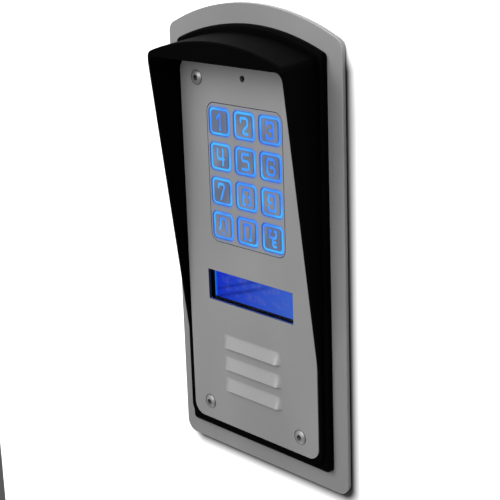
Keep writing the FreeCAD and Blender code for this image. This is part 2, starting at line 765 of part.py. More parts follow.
def keypad_housing():
    """Opaque grid that guides the keys and keeps their light apart, with a recess for the mat."""
    mat_rear = MAT_FRONT + MAT_THICK
    housing = rounded_block(HOUSING_WIDTH, HOUSING_HEIGHT, PLATE_REAR, mat_rear, HOUSING_CORNER,
                            z=KEYPAD_Z)
    housing = housing.cut(rounded_block(MAT_WIDTH + 2 * MAT_GAP, MAT_HEIGHT + 2 * MAT_GAP,
                                        MAT_FRONT, mat_rear + 1, MAT_CORNER + MAT_GAP, z=KEYPAD_Z))
    for _, x, z in key_places():
        well = rounded_block(KEY_WELL_WIDTH, KEY_WELL_HEIGHT, PLATE_REAR - 1, mat_rear,
                             KEY_WELL_CORNER, x, z)
        housing = housing.cut(well)
    for x, z in keypad_studs():
        housing = housing.cut(rod(STUD_HOLE_R, PLATE_REAR - 1, mat_rear + 1, x, z))
    return housing


def led_place(x, z):
    return x, z - LED_BELOW


def keymat():
    """Silicone mat: a sheet with a hollow dome and a contact pill under each key."""
    rear = MAT_FRONT + MAT_THICK
    sheet = rounded_block(MAT_WIDTH, MAT_HEIGHT, MAT_FRONT, rear, MAT_CORNER, z=KEYPAD_Z)
    top = KEY_STEM_END + KEY_REST_GAP
    ceiling = top + DOME_ROOF
    inner_r, inner_top_r = DOME_R - DOME_SKIN, DOME_TOP_R - DOME_SKIN
    for _, x, z in key_places():
        dome = turned([(0, MAT_FRONT), (DOME_R, MAT_FRONT), (DOME_TOP_R, top), (0, top)], x, z)
        hollow = turned([(0, rear), (inner_r, rear), (inner_top_r, ceiling), (0, ceiling)], x, z)
        pill = rod(PILL_R, ceiling - 0.1, rear - KEY_TRAVEL, x, z)
        led_x, led_z = led_place(x, z)
        window = rounded_block(LED_WIDTH + 2 * LED_GAP, LED_HEIGHT + 2 * LED_GAP, MAT_FRONT - 1,
                               rear + 1, LED_GAP, led_x, led_z)
        sheet = sheet.fuse(dome).cut(hollow).fuse(pill).cut(window)
    return sheet.removeSplitter()


def keypad_leds():
    rear = MAT_FRONT + MAT_THICK
    lamps = []
    for _, x, z in key_places():
        led_x, led_z = led_place(x, z)
        lamps.append(rounded_block(LED_WIDTH, LED_HEIGHT, rear - LED_THICK, rear, 0, led_x, led_z))
    return group(lamps)


def keypad_pcb():
    front = MAT_FRONT + MAT_THICK
    board = rounded_block(HOUSING_WIDTH, HOUSING_HEIGHT, front, front + BOARD_THICK, MAT_CORNER,
                          z=KEYPAD_Z)
    for x, z in keypad_studs():
        board = board.cut(rod(STUD_HOLE_R, front - 1, front + BOARD_THICK + 1, x, z))
    return board


# ---------------------------------------------------------------- display


def window_gasket():
    outer = rounded_block(SEAL_WIDTH, SEAL_HEIGHT, PLATE_REAR, SEAL_REAR, WINDOW_CORNER, z=SEAL_Z)
    return outer.cut(rounded_block(WINDOW_WIDTH + 0.6, WINDOW_HEIGHT + 0.6, PLATE_REAR - 1,
                                   SEAL_REAR + 1, WINDOW_CORNER, z=WINDOW_Z))


def lcd_window():
    return rounded_block(PANE_WIDTH, PANE_HEIGHT, SEAL_REAR, PANE_REAR, 1.0, z=PANE_Z)


def lcd_bezel():
    """Folded black steel shell that clamps the cell and the light guide to the display board."""
    skin = DISPLAY_SHELL_SKIN
    shell = rounded_block(DISPLAY_SHELL_WIDTH, DISPLAY_SHELL_HEIGHT, PANE_REAR,
                          DISPLAY_BOARD_FRONT, 1.0, z=DISPLAY_Z)
    inside = rounded_block(DISPLAY_SHELL_WIDTH - 2 * skin, DISPLAY_SHELL_HEIGHT - 2 * skin,
                           CELL_FRONT, DISPLAY_BOARD_FRONT + 1, 0.5, z=DISPLAY_Z)
    view = rounded_block(DISPLAY_VIEW_WIDTH, DISPLAY_VIEW_HEIGHT, PANE_REAR - 1, CELL_FRONT + 1, 0.4,
                         z=DISPLAY_Z)
    return shell.cut(inside).cut(view)


def lcd_glass():
    return rounded_block(CELL_WIDTH, CELL_HEIGHT, CELL_FRONT, CELL_REAR, 0.3, z=DISPLAY_Z)


def lcd_backlight():
    return rounded_block(CELL_WIDTH, CELL_HEIGHT, CELL_REAR, DISPLAY_BOARD_FRONT, 0.3, z=DISPLAY_Z)


def display_holes():
    return four_corners(DISPLAY_HOLE_X, DISPLAY_HOLE_Z, DISPLAY_Z)


def lcd_pcb():
    rear = DISPLAY_BOARD_FRONT + BOARD_THICK
    board = rounded_block(DISPLAY_BOARD_WIDTH, DISPLAY_BOARD_HEIGHT, DISPLAY_BOARD_FRONT, rear,
                          0.8, z=DISPLAY_Z)
    for x, z in display_holes():
        board = board.cut(rod(STUD_HOLE_R, DISPLAY_BOARD_FRONT - 1, rear + 1, x, z))
    return board


# ---------------------------------------------------------------- loudspeaker and microphone


def speaker_lugs():
    reach = SPEAKER_LUG_REACH / math.sqrt(2)
    return four_corners(reach, reach, SPEAKER_Z)


def dust_screen():
    return rod(SPEAKER_R + 0.5, PLATE_REAR, SCREEN_REAR, z=SPEAKER_Z)


def speaker_frame():
    """Pressed basket with a flat rim, four lugs and four windows."""
    basket = turned(
        [
            (BASKET_MOUTH_R, SCREEN_REAR),
            (SPEAKER_R, SCREEN_REAR),
            (SPEAKER_R, SPEAKER_RIM_REAR),
            (BASKET_WALL_R, SPEAKER_RIM_REAR),
            (BASKET_BACK_R, BASKET_BACK),
            (COIL_HOLE_R, BASKET_BACK),
            (COIL_HOLE_R, BASKET_BACK - BASKET_SKIN),
            (BASKET_BACK_R - 0.7, BASKET_BACK - BASKET_SKIN),
            (BASKET_MOUTH_R, SPEAKER_RIM_REAR),
        ],
        z=SPEAKER_Z,
    )
    for x, z in speaker_lugs():
        basket = basket.fuse(rod(SPEAKER_LUG_R, SCREEN_REAR, SPEAKER_RIM_REAR, x, z))
        basket = basket.cut(rod(STUD_HOLE_R, SCREEN_REAR - 1, SPEAKER_RIM_REAR + 1, x, z))
    inside_rim = rod(BASKET_MOUTH_R, SCREEN_REAR - 1, SPEAKER_RIM_REAR, z=SPEAKER_Z)
    basket = basket.cut(inside_rim)
    for n in range(4):
        window = rounded_block(*BASKET_WINDOW, 0, z=BASKET_WINDOW[1] / 2)
        window.rotate(Vector(0, 0, 0), Vector(0, 1, 0), 90 * n)
        window.translate(Vector(0, 0, SPEAKER_Z))
        basket = basket.cut(window)
    return basket.removeSplitter()


def speaker_cone():
    """Paper cone with its coil former, closed by a dust cap."""
    return turned(
        [
            (22.2, SCREEN_REAR + 0.2),
            (22.2, SCREEN_REAR + 0.7),
            (19.5, SCREEN_REAR + 0.9),
            (6.4, 2.6),
            (6.4, 9.4),
            (6.0, 9.4),
            (6.0, 1.2),
            (0, 0.2),
            (0, -0.2),
            (7.2, 1.1),
            (19.2, SCREEN_REAR + 0.5),
        ],
        z=SPEAKER_Z,
    )


def speaker_magnet():
    front = BASKET_BACK + YOKE_THICK
    rear = front + MAGNET_THICK
    ring = rod(MAGNET_R, front, rear, z=SPEAKER_Z)
    return ring.cut(rod(MAGNET_BORE_R, front - 1, rear + 1, z=SPEAKER_Z))


def speaker_yoke():
    """Front washer, and rear plate with its pole piece."""
    front = BASKET_BACK + YOKE_THICK
    rear = front + MAGNET_THICK
    washer = rod(YOKE_R, BASKET_BACK, front, z=SPEAKER_Z)
    washer = washer.cut(rod(COIL_HOLE_R, BASKET_BACK - 1, front + 1, z=SPEAKER_Z))
    pole = rod(POLE_R, BASKET_BACK, rear, z=SPEAKER_Z)
    pole = pole.fuse(rod(YOKE_R, rear, rear + YOKE_THICK, z=SPEAKER_Z))
    return group([washer, pole.removeSplitter()])


def microphone_boot():
    boot = rod(MIC_BOOT_R, PLATE_REAR, MIC_BOOT_REAR, z=MIC_Z)
    boot = boot.cut(rod(MIC_PORT_R, PLATE_REAR - 1, MIC_FRONT + 1, z=MIC_Z))
    return boot.cut(rod(MIC_R, MIC_FRONT, MIC_BOOT_REAR + 1, z=MIC_Z))


def microphone_capsule():
    return rod(MIC_R, MIC_FRONT, MIC_REAR, z=MIC_Z)


# ---------------------------------------------------------------- fasteners and boards


def weld_studs():
    """Studs on the back of the front plate, for the keypad and the loudspeaker."""
    studs = [rod(STUD_R, PLATE_REAR, KEYPAD_STUD_END, x, z) for x, z in keypad_studs()]
    studs += [rod(STUD_R, PLATE_REAR, SPEAKER_STUD_END, x, z) for x, z in speaker_lugs()]
    return group(studs)


def main_holes():
    return [(sx * MAIN_HOLE_X, z) for sx in (-1, 1) for z in (MAIN_HOLE_TOP, MAIN_HOLE_LOW)]


def standoff(x, z, seat):
    """Hexagonal pillar with a threaded end that goes through the board on its seat."""
    pillar = hexagon(PILLAR_ACROSS_FLATS, PLATE_REAR, seat, x, z)
    return pillar.fuse(rod(STUD_R, seat - 1, seat + BOARD_THICK + NUT_THICK + 0.6, x, z))


def standoffs():
    low = [standoff(x, z, DISPLAY_BOARD_FRONT) for x, z in display_holes()]
    high = [standoff(x, z, MAIN_FRONT) for x, z in main_holes()]
    return group(low + high)


def nut(x, z, seat):
    body = hexagon(NUT_ACROSS_FLATS, seat, seat + NUT_THICK, x, z)
    return body.cut(rod(NUT_BORE_R, seat - 1, seat + NUT_THICK + 1, x, z))


def stud_nuts():
    seats = [
        (keypad_studs(), MAT_FRONT + MAT_THICK + BOARD_THICK),
        (speaker_lugs(), SPEAKER_RIM_REAR),
        (display_holes(), DISPLAY_BOARD_FRONT + BOARD_THICK),
        (main_holes(), MAIN_FRONT + BOARD_THICK),
    ]
    return group([nut(x, z, seat) for places, seat in seats for x, z in places])


def main_pcb():
    rear = MAIN_FRONT + BOARD_THICK
    board = rounded_block(MAIN_WIDTH, MAIN_HEIGHT, MAIN_FRONT, rear, 2.0)
    for x, z in main_holes():
        board = board.cut(rod(STUD_HOLE_R, MAIN_FRONT - 1, rear + 1, x, z))
    return board


def board_chips():
    """Processor, audio amplifier and memory on the front of the main board."""
    sizes = [(14.0, 14.0, 0.0, 38.0), (10.0, 10.0, -17.0, 14.0), (6.0, 5.0, 17.0, 50.0)]
    return group([rounded_block(w, h, MAIN_FRONT - 1.5, MAIN_FRONT, 0.3, x, z) for w, h, x, z in sizes])


def board_headers():
    """Stacking connectors from the keypad board and the display board to the main board."""
    keypad_rear = MAT_FRONT + MAT_THICK + BOARD_THICK
    display_rear = DISPLAY_BOARD_FRONT + BOARD_THICK
    return group(
        [
            rounded_block(20.3, 2.5, keypad_rear, MAIN_FRONT, 0.4, z=76.0),
            rounded_block(40.6, 2.5, display_rear, MAIN_FRONT, 0.4, z=-5.0),
        ]
    )


def door_relay():
    rear = MAIN_FRONT + BOARD_THICK
    width, depth, height = RELAY_SIZE
    case = rounded_block(width, height, rear, rear + depth, 0.6, *RELAY_AT)
    return case.makeFillet(0.6, edges_at(case, rear + depth))


def capacitors():
    rear = MAIN_FRONT + BOARD_THICK
    top = rear + CAPACITOR_HEIGHT
    cans = [rod(CAPACITOR_R, rear, top, x, z) for x, z in CAPACITOR_PLACES]
    return group([can.makeFillet(0.7, edges_at(can, top)) for can in cans])


def terminal_blocks():
    """Two five-way screw terminals: wires enter from below, screws face the rear."""
    rear = MAIN_FRONT + BOARD_THICK
    end = rear + TERMINAL_DEPTH
    z = TERMINAL_Z
    foot = z - TERMINAL_HEIGHT / 2
    blocks = []
    for centre in (-TERMINAL_X, TERMINAL_X):
        block = rounded_block(TERMINAL_PITCH * TERMINAL_WAYS + 0.6, TERMINAL_HEIGHT, rear, end, 0.3,
                              centre, z)
        for n in range(TERMINAL_WAYS):
            x = centre + (n - (TERMINAL_WAYS - 1) / 2) * TERMINAL_PITCH
            screw_well = rod(1.9, end - 3.0, end + 1, x, z + 0.6)
            slot = Part.makeBox(3.4, 3.6, 5.0, Vector(x - 1.7, rear + 1.6, foot - 1))
            block = block.cut(screw_well).cut(slot)
        blocks.append(block)
    return group(blocks)


# ---------------------------------------------------------------- flush box


def flush_box():
    box = rounded_block(BOX_WIDTH, BOX_HEIGHT, 0.0, BOX_DEPTH, BOX_CORNER)
    floor = BOX_DEPTH - BOX_WALL
    inner_x, inner_z = BOX_WIDTH / 2 - BOX_WALL, BOX_HEIGHT / 2 - BOX_WALL
    box = box.cut(rounded_block(2 * inner_x, 2 * inner_z, -1.0, floor, BOX_CORNER - BOX_WALL))
    for x, z in four_corners(SCREW_X, SCREW_Z):
        side, end = math.copysign(1, x), math.copysign(1, z)
        web_x, web_z = inner_x - SCREW_X, inner_z - SCREW_Z
        web = rounded_block(web_x, web_z, BOSS_FRONT, floor, 0, x + side * web_x / 2,
                            z + end * web_z / 2)
        side_web = rounded_block(web_x, BOX_RIB, BOSS_FRONT, floor, 0, x + side * web_x / 2, z)
        end_web = rounded_block(BOX_RIB, web_z, BOSS_FRONT, floor, 0, x, z + end * web_z / 2)
        box = box.multiFuse([rod(BOSS_R, BOSS_FRONT, floor, x, z), web, side_web, end_web])
    outer = rounded_block(BOX_WIDTH, BOX_HEIGHT, 0.0, BOX_DEPTH, BOX_CORNER)
    box = box.common(outer)
    for x, z in four_corners(SCREW_X, SCREW_Z):
        box = box.cut(rod(INSERT_R, BOSS_FRONT - 1, BOSS_FRONT + INSERT_LENGTH, x, z))
        box = box.cut(rod(BOSS_BORE_R, BOSS_FRONT, BOSS_FRONT + BOSS_BORE_DEPTH, x, z))
    for x, z in four_corners(BOX_HOLE_X, BOX_HOLE_Z):
        box = box.cut(rod(BOX_HOLE_R, floor - 1, BOX_DEPTH + 1, x, z))
    conduit = Part.makeCylinder(CONDUIT_R, BOX_WALL + 2, Vector(0, CONDUIT_Y, -BOX_HEIGHT / 2 - 1))
    return box.cut(conduit).removeSplitter()


def boss_inserts():
    inserts = []
    for x, z in four_corners(SCREW_X, SCREW_Z):
        body = rod(INSERT_R, BOSS_FRONT, BOSS_FRONT + INSERT_LENGTH, x, z)
        bore = rod(INSERT_BORE_R, BOSS_FRONT - 1, BOSS_FRONT + INSERT_LENGTH + 1, x, z)
        inserts.append(body.cut(bore))
    return group(inserts)


def cable_grommet():
    """Rubber bush in the conduit hole of the box's lower wall."""
    low = -BOX_HEIGHT / 2 - GROMMET_LIP
    high = -BOX_HEIGHT / 2 + BOX_WALL + GROMMET_LIP
    body = Part.makeCylinder(CONDUIT_R - 0.05, high - low, Vector(0, CONDUIT_Y, low))
    for z in (low, high - GROMMET_LIP):
        body = body.fuse(Part.makeCylinder(GROMMET_LIP_R, GROMMET_LIP, Vector(0, CONDUIT_Y, z)))
    bore = Part.makeCylinder(CABLE_R, high - low + 2, Vector(0, CONDUIT_Y, low - 1))
    return body.cut(bore).removeSplitter()


# ---------------------------------------------------------------- assembly

NODES = {
    "back_plate": back_plate,
    "trim_gaskets": trim_gaskets,
    "hood": hood,
    "front_plate": front_plate,
    "plate_gasket": plate_gasket,
    "front_screws": front_screws,
    "keypad_plate": keypad_plate,
    "keypad_housing": keypad_housing,
    "keymat": keymat,
    "keypad_leds": keypad_leds,
    "keypad_pcb": keypad_pcb,
    "window_gasket": window_gasket,
    "lcd_window": lcd_window,
    "lcd_bezel": lcd_bezel,
    "lcd_glass": lcd_glass,
    "lcd_backlight": lcd_backlight,
    "lcd_pcb": lcd_pcb,
    "dust_screen": dust_screen,
    "speaker_frame": speaker_frame,
    "speaker_cone": speaker_cone,
    "speaker_magnet": speaker_magnet,
    "speaker_yoke": speaker_yoke,
    "microphone_boot": microphone_boot,
    "microphone_capsule": microphone_capsule,
    "weld_studs": weld_studs,
    "standoffs": standoffs,
    "stud_nuts": stud_nuts,
    "main_pcb": main_pcb,
    "board_chips": board_chips,
    "board_headers": board_headers,
    "door_relay": door_relay,
    "capacitors": capacitors,
    "terminal_blocks": terminal_blocks,
    "flush_box": flush_box,
    "boss_inserts": boss_inserts,
    "cable_grommet": cable_grommet,
}


def write(name, shape):
    shape.exportStep(os.path.join("parts", name + ".step"))
    volume = sum(s.Volume for s in shape.Solids)
    print(f"{name:20s} solids {len(shape.Solids):2d}  valid {shape.isValid()}  {volume:10.1f} mm3")


def main():
    os.makedirs("parts", exist_ok=True)
    for name, make in NODES.items():
        write(name, make())
    for name, x, z in key_places():
        write("key_cap_" + name, key_cap(name, x, z))
        write("key_light_" + name, key_light(name, x, z))


main()
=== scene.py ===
import json
import math

import bmesh
import bpy
from mathutils import Matrix, Vector

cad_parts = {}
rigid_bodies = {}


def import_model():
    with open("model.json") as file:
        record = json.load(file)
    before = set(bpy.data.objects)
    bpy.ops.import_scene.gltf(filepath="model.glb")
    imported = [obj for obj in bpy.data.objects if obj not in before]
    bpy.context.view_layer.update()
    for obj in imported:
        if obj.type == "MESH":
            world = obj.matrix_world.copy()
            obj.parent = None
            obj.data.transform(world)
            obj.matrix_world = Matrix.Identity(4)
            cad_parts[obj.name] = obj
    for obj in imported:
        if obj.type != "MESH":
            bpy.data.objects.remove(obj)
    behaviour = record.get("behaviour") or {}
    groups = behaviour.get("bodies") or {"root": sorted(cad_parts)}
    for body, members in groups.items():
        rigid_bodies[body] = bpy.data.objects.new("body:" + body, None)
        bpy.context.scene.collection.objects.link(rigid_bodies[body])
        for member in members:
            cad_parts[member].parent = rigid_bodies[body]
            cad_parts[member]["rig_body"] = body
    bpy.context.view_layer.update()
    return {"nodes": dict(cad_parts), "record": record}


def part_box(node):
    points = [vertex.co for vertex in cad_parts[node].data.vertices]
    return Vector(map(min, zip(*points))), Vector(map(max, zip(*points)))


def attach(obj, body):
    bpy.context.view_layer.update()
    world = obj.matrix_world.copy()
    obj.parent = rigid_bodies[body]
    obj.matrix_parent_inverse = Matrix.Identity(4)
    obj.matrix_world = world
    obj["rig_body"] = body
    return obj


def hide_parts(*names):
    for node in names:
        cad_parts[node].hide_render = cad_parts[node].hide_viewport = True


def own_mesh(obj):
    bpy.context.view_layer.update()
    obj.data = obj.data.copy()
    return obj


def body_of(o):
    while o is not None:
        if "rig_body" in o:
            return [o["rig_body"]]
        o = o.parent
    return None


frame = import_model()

# Looks of the door intercom panel.  Everything is in metres in the panel's own frame: +Z is up,
# the panel faces -Y, and the plane y = 0 is the face of the wall that it is let into.

NODES = frame["nodes"]
MM = 0.001

# Keypad layout, repeated from the CAD model for the light that spills round the keys
KEY_PITCH = (18.8 * MM, 18.35 * MM)
KEY_ROWS_Z = 40.85 * MM
KEY_HOLE = (16.0 * MM, 14.9 * MM)
KEY_HOLE_CORNER = 3.0 * MM

# Display window in the front plate
WINDOW_SIZE = (64.5 * MM, 16.7 * MM)
WINDOW_Z = -20.78 * MM

# Camera, placed to look at the panel from its right and from above
CAMERA_AT = (0.49863, -0.45282, 0.19781)
CAMERA_AZIMUTH = 48.24
CAMERA_ELEVATION = 16.20
CAMERA_ROLL = -1.99
CAMERA_LENS = 97.57
CAMERA_SENSOR = 36.0

# Board in the plane of the wall, open behind the trim plate, and a floor far below it
WALL_SIZE = 0.56
RECESS_INSET = 6 * MM
RECESS_TOP = 20 * MM
FLOOR_SIZE = 1.5
FLOOR_Z = -1.0
STAGE_WHITE = 0.92
STAGE_ROUGHNESS = 0.9

# World light by height (z of the direction), and the lamps as (name, place, diameter, watts)
WORLD_FADE = (-0.22, 0.12)
WORLD_LOW = 0.10
WORLD_HIGH = 0.85
LIGHTS = (
    ("front", (-0.1, -1.6, 0.9), 2.0, 56),
    ("key", (-0.9, -1.2, 1.0), 0.8, 12),
)

# Soft shadow painted on the backdrop, to the right of the panel and below it
SHADOW_RIGHT = 3.0 * MM
SHADOW_DOWN = 5.0 * MM
SHADOW_REACH = 6.0 * MM
SHADOW_CORNER = 8.0 * MM
SHADOW_DEPTH = 0.04
SHADOW_TOP = 17 * MM

# Finish of the sheet metal; cells are counts per metre along x, y and z
GRAIN_CELLS = (5200, 5200, 90)
GRAIN_DEPTH = 0.000006
CLOUD_CELLS = (16, 16, 11)
METAL_SHARE = 0.4
METAL_TONE = 0.205
TRIM_TONE = 0.183
# CAP_SHADE and the colour below it paint shade on the key caps; they are not part of the finish
CAP_SHADE = 0.6
CAP_SHADE_COLOUR = (0.035, 0.05, 0.08, 1)

# Lit keys: distances from the edge of the key's hole, negative towards its middle
SPILL_REACH = 2.2 * MM
CAP_EDGE = -1.5 * MM
CAP_GLOW_FADE = (-4.5 * MM, -2.0 * MM)
RING_MIDDLE = 1.1 * MM
RING_FADE = 0.9 * MM
LEGEND_EDGE = -1.9 * MM
KEY_END_FADE = (4.0 * MM, 6.8 * MM)

# Light on the cut edges of the display's opening
WINDOW_MARGIN = 0.05 * MM
SILL_HEIGHT = 0.3 * MM
JAMB_SHARE = 0.12
SILL_SHARE = 0.88

# Colours of the lit parts, and of the painted light and shade round them
BLACK = (0, 0, 0, 1)
# Painted shade on the cut edges inside the display's opening
WINDOW_EDGE_SHADE = (0.012, 0.016, 0.03, 1)
KEY_BODY = (0.01, 0.03, 0.08, 1)
# Painted blue light round the keys
KEY_SPILL = (0.004, 0.06, 0.27, 1)
# Painted reflection of the display on the sill of its opening
SILL_SPILL = (0.004, 0.02, 0.16, 1)
GLOW_EDGE = (0.05, 0.10, 0.60, 1)
GLOW_CORE = (0.03, 0.28, 0.92, 1)
GLOW_CYAN = (0.05, 0.52, 0.95, 1)
GLOW_FIGURE = (0.03, 0.17, 0.80, 1)
GLOW_FIGURE_BRIGHT = (0.05, 0.38, 0.95, 1)
CELL_LEFT = (0.0, 0.022, 0.52, 1)
CELL_RIGHT = (0.04, 0.115, 0.55, 1)
CELL_BODY = (0.001, 0.002, 0.01, 1)
CELL_EDGE_TINT = (0.01, 0.20, 1.0, 1)
CHARACTER_TINT = (0.28, 0.24, 0.40, 1)
CHARACTER_STRENGTH = 0.13
# Colour of the painted reflection streaks on the display
REFLECTION_TINT = (0.0, 0.008, 0.20, 1)

# Display cell: where its blue fades, its faint characters and dots, and its painted reflection
# streaks, which are given as (height, half width, strength) with the lengths in mm
FIELD_FADE = (-30 * MM, 28 * MM)
CELL_EDGE_FADE = (-31.3 * MM, -29.4 * MM)
CHARACTER_HALF_PITCH = 1.775 * MM
CHARACTER_HALF_SIZE = (1.48 * MM, 2.6 * MM)
CHARACTER_ROW = 3.0 * MM
CHARACTERS_END = (22 * MM, 27 * MM)
DOT_HALF_PITCH = 0.3 * MM
DOT_HALF_SIZE = 0.24 * MM
STREAK_SLOPE = 0.33
STREAK_FADE = (-4 * MM, 18 * MM)
REFLECTION_STREAKS = ((-18.6, 1.6, 0.7), (-14.2, 1.2, 0.6))

# Silicone domes under the keys
DOME_REACH = 5.2 * MM
MERGE = 0.001 * MM

# Front screws: where they stand, and the radii over which painted shade darkens socket and rim
SCREW_AT = (35.15 * MM, 89.65 * MM)
SOCKET_FADE = (1.3 * MM, 1.6 * MM)
RIM_FADE = (3.3 * MM, 3.8 * MM)
SOCKET_SHADE_TONE = 0.02
HEAD_TONE = 0.17


# ---------------------------------------------------------------- node graphs


class Graph:
    """A material's node tree, with short ways to add what the looks below need."""

    def __init__(self, name):
        self.material = bpy.data.materials.new(name)
        self.material.use_nodes = True
        self.tree = self.material.node_tree
        self.shader = self.tree.nodes["Principled BSDF"]

    def set(self, **values):
        for key, value in values.items():
            self.shader.inputs[key.replace("_", " ")].default_value = value
        return self

    def node(self, kind, **settings):
        made = self.tree.nodes.new(kind)
        for key, value in settings.items():
            setattr(made, key, value)
        return made

    def plug(self, source, target):
        self.tree.links.new(source, target)

    def feed(self, socket, value):
        if isinstance(value, (int, float, tuple)):
            socket.default_value = value
        else:
            self.plug(value, socket)

    def math(self, operation, a, b=None, c=None):
        made = self.node("ShaderNodeMath", operation=operation)
        for socket, value in zip(made.inputs, (a, b, c)):
            if value is not None:
                self.feed(socket, value)
        return made.outputs[0]

    def place(self):
        """Position in the panel's frame, in metres, as (vector, x, y, z)."""
        coordinates = self.node("ShaderNodeTexCoord").outputs["Object"]
        split = self.node("ShaderNodeSeparateXYZ")
        self.plug(coordinates, split.inputs[0])
        return coordinates, split.outputs[0], split.outputs[1], split.outputs[2]

    def noise(self, scale, detail=2.0, roughness=0.5):
        """Noise in the panel's frame; scale is (x, y, z) in cells per metre."""
        mapping = self.node("ShaderNodeMapping")
        self.plug(self.node("ShaderNodeTexCoord").outputs["Object"], mapping.inputs["Vector"])
        mapping.inputs["Scale"].default_value = scale
        made = self.node("ShaderNodeTexNoise")
        self.plug(mapping.outputs[0], made.inputs["Vector"])
        made.inputs["Scale"].default_value = 1.0
        made.inputs["Detail"].default_value = detail
        made.inputs["Roughness"].default_value = roughness
        return made.outputs["Fac"]

    def ramp(self, value, low, high, out_low, out_high):
        """Maps low..high of a value to out_low..out_high, and holds it there outside."""
        made = self.node("ShaderNodeMapRange")
        self.feed(made.inputs["Value"], value)
        for key, number in (("From Min", low), ("From Max", high)):
            made.inputs[key].default_value = number
        for key, number in (("To Min", out_low), ("To Max", out_high)):
            made.inputs[key].default_value = number
        return made.outputs[0]

    def mix(self, factor, a, b):
        made = self.node("ShaderNodeMix", data_type="RGBA")
        self.feed(made.inputs["Factor"], factor)
        self.feed(made.inputs[6], a)
        self.feed(made.inputs[7], b)
        return made.outputs[2]

    def bump(self, height, depth):
        """Bump of the shader's surface; depth is in metres for a height of 0 to 1."""
        made = self.node("ShaderNodeBump")
        made.inputs["Distance"].default_value = depth
        self.plug(height, made.inputs["Height"])
        self.plug(made.outputs[0], self.shader.inputs["Normal"])


def grey(value):
    return (value, value, value, 1.0)


# ---------------------------------------------------------------- materials


def brushed_steel(name, tone, roughness=0.40, spill=None):
    """Satin sheet metal with an upright grain, cloudy handling marks and, if asked, painted spilt light
    and shade.
    """
    g = Graph(name)
    grain = g.noise(GRAIN_CELLS, 3.0, 0.65)
    cloud = g.noise(CLOUD_CELLS, 2.0)
    light, dark = grey(tone * 1.05), grey(tone * 0.95)
    colour = g.mix(g.ramp(cloud, 0.35, 0.65, 0.0, 1.0), dark, light)
    colour = g.mix(g.ramp(grain, 0.3, 0.7, 0.0, 0.12), colour, grey(tone * 0.7))
    if spill:
        colour = spill(g, colour)
    g.plug(colour, g.shader.inputs["Base Color"])
    rough = g.math("ADD", g.ramp(grain, 0.3, 0.7, -0.05, 0.07), g.ramp(cloud, 0.3, 0.7, -0.02, 0.03))
    g.plug(g.math("ADD", rough, roughness), g.shader.inputs["Roughness"])
    g.set(Metallic=METAL_SHARE)
    g.bump(grain, GRAIN_DEPTH)
    return g.material


def rounded_box_distance(g, across, up, half_width, half_height, corner):
    """Distance in metres from the edge of a rounded rectangle, negative inside it.

    `across` and `up` are sockets with the distances from its centre lines, without their signs.
    """
    past_x = g.math("SUBTRACT", across, half_width - corner)
    past_z = g.math("SUBTRACT", up, half_height - corner)
    out_x, out_z = g.math("MAXIMUM", past_x, 0.0), g.math("MAXIMUM", past_z, 0.0)
    square = g.math("ADD", g.math("MULTIPLY", out_x, out_x), g.math("MULTIPLY", out_z, out_z))
    inside = g.math("MINIMUM", g.math("MAXIMUM", past_x, past_z), 0.0)
    return g.math("SUBTRACT", g.math("ADD", g.math("SQRT", square), inside), corner)


def from_key_row(g, z):
    """Height in metres above the middle line of the nearest row of keys."""
    middle = KEY_ROWS_Z + KEY_PITCH[1] / 2
    return g.math("WRAP", g.math("SUBTRACT", z, middle), KEY_PITCH[1] / 2, -KEY_PITCH[1] / 2)


def key_distance(g, x, z):
    """Distance in metres from the edge of the nearest key hole, negative inside it."""
    fold_x = g.math("WRAP", x, KEY_PITCH[0] / 2, -KEY_PITCH[0] / 2)
    across, up = g.math("ABSOLUTE", fold_x), g.math("ABSOLUTE", from_key_row(g, z))
    return rounded_box_distance(g, across, up, KEY_HOLE[0] / 2, KEY_HOLE[1] / 2, KEY_HOLE_CORNER)


def key_spill(g, colour):
    """Painted blue light that the lit rings throw on the metal beside them and on the caps, and painted
    shade there, patchy and with a blue cast on the caps.
    """
    _, x, _, z = g.place()
    distance = key_distance(g, x, z)
    # Painted blue light: strongest at the edge of each hole, fading over SPILL_REACH, weaker on the
    # caps
    glow = g.math("POWER", g.ramp(g.math("ABSOLUTE", distance), 0.0, SPILL_REACH, 1.0, 0.0), 2.0)
    cap_glow = g.ramp(distance, *CAP_GLOW_FADE, 0.2, 0.5)
    on_cap = g.math("LESS_THAN", distance, CAP_EDGE)
    glow = g.mix(on_cap, glow, cap_glow)
    g.plug(g.mix(glow, BLACK, KEY_SPILL), g.shader.inputs["Emission Color"])
    g.set(Emission_Strength=1.0)
    # Painted shade beside the rings and on the caps, in step with the painted light
    colour = g.mix(g.math("MULTIPLY", glow, 0.5), colour, CAP_SHADE_COLOUR)
    # Patchy painted shade over the caps, with a blue cast
    cap_shade_patches = g.ramp(g.noise((45, 45, 45), 1.0), 0.4, 0.6, 0.2, 1.0)
    shade = g.math("MULTIPLY", g.math("MULTIPLY", on_cap, cap_shade_patches), CAP_SHADE)
    return g.mix(shade, colour, CAP_SHADE_COLOUR)


def display_spill(g, colour):
    """Cut edges of the sheet inside the display's opening, painted dark as shade and with a painted
    reflection of the display's blue light, strongest on the sill.
    """
    _, x, _, z = g.place()
    reach_x = g.math("ABSOLUTE", x)
    reach_z = g.math("ABSOLUTE", g.math("SUBTRACT", z, WINDOW_Z))
    inside_x = g.math("LESS_THAN", reach_x, WINDOW_SIZE[0] / 2 + WINDOW_MARGIN)
    inside_z = g.math("LESS_THAN", reach_z, WINDOW_SIZE[1] / 2 + WINDOW_MARGIN)
    inside = g.math("MULTIPLY", inside_x, inside_z)
    on_sill = g.math("LESS_THAN", z, WINDOW_Z - WINDOW_SIZE[1] / 2 + SILL_HEIGHT)
    share = g.math("ADD", JAMB_SHARE, g.math("MULTIPLY", on_sill, SILL_SHARE))
    lit = g.math("MULTIPLY", inside, share)
    # Painted reflection of the display's blue light, strongest on the sill
    g.plug(g.mix(lit, BLACK, SILL_SPILL), g.shader.inputs["Emission Color"])
    g.set(Emission_Strength=1.0)
    # Painted shade over the cut edges inside the opening
    return g.mix(inside, colour, WINDOW_EDGE_SHADE)


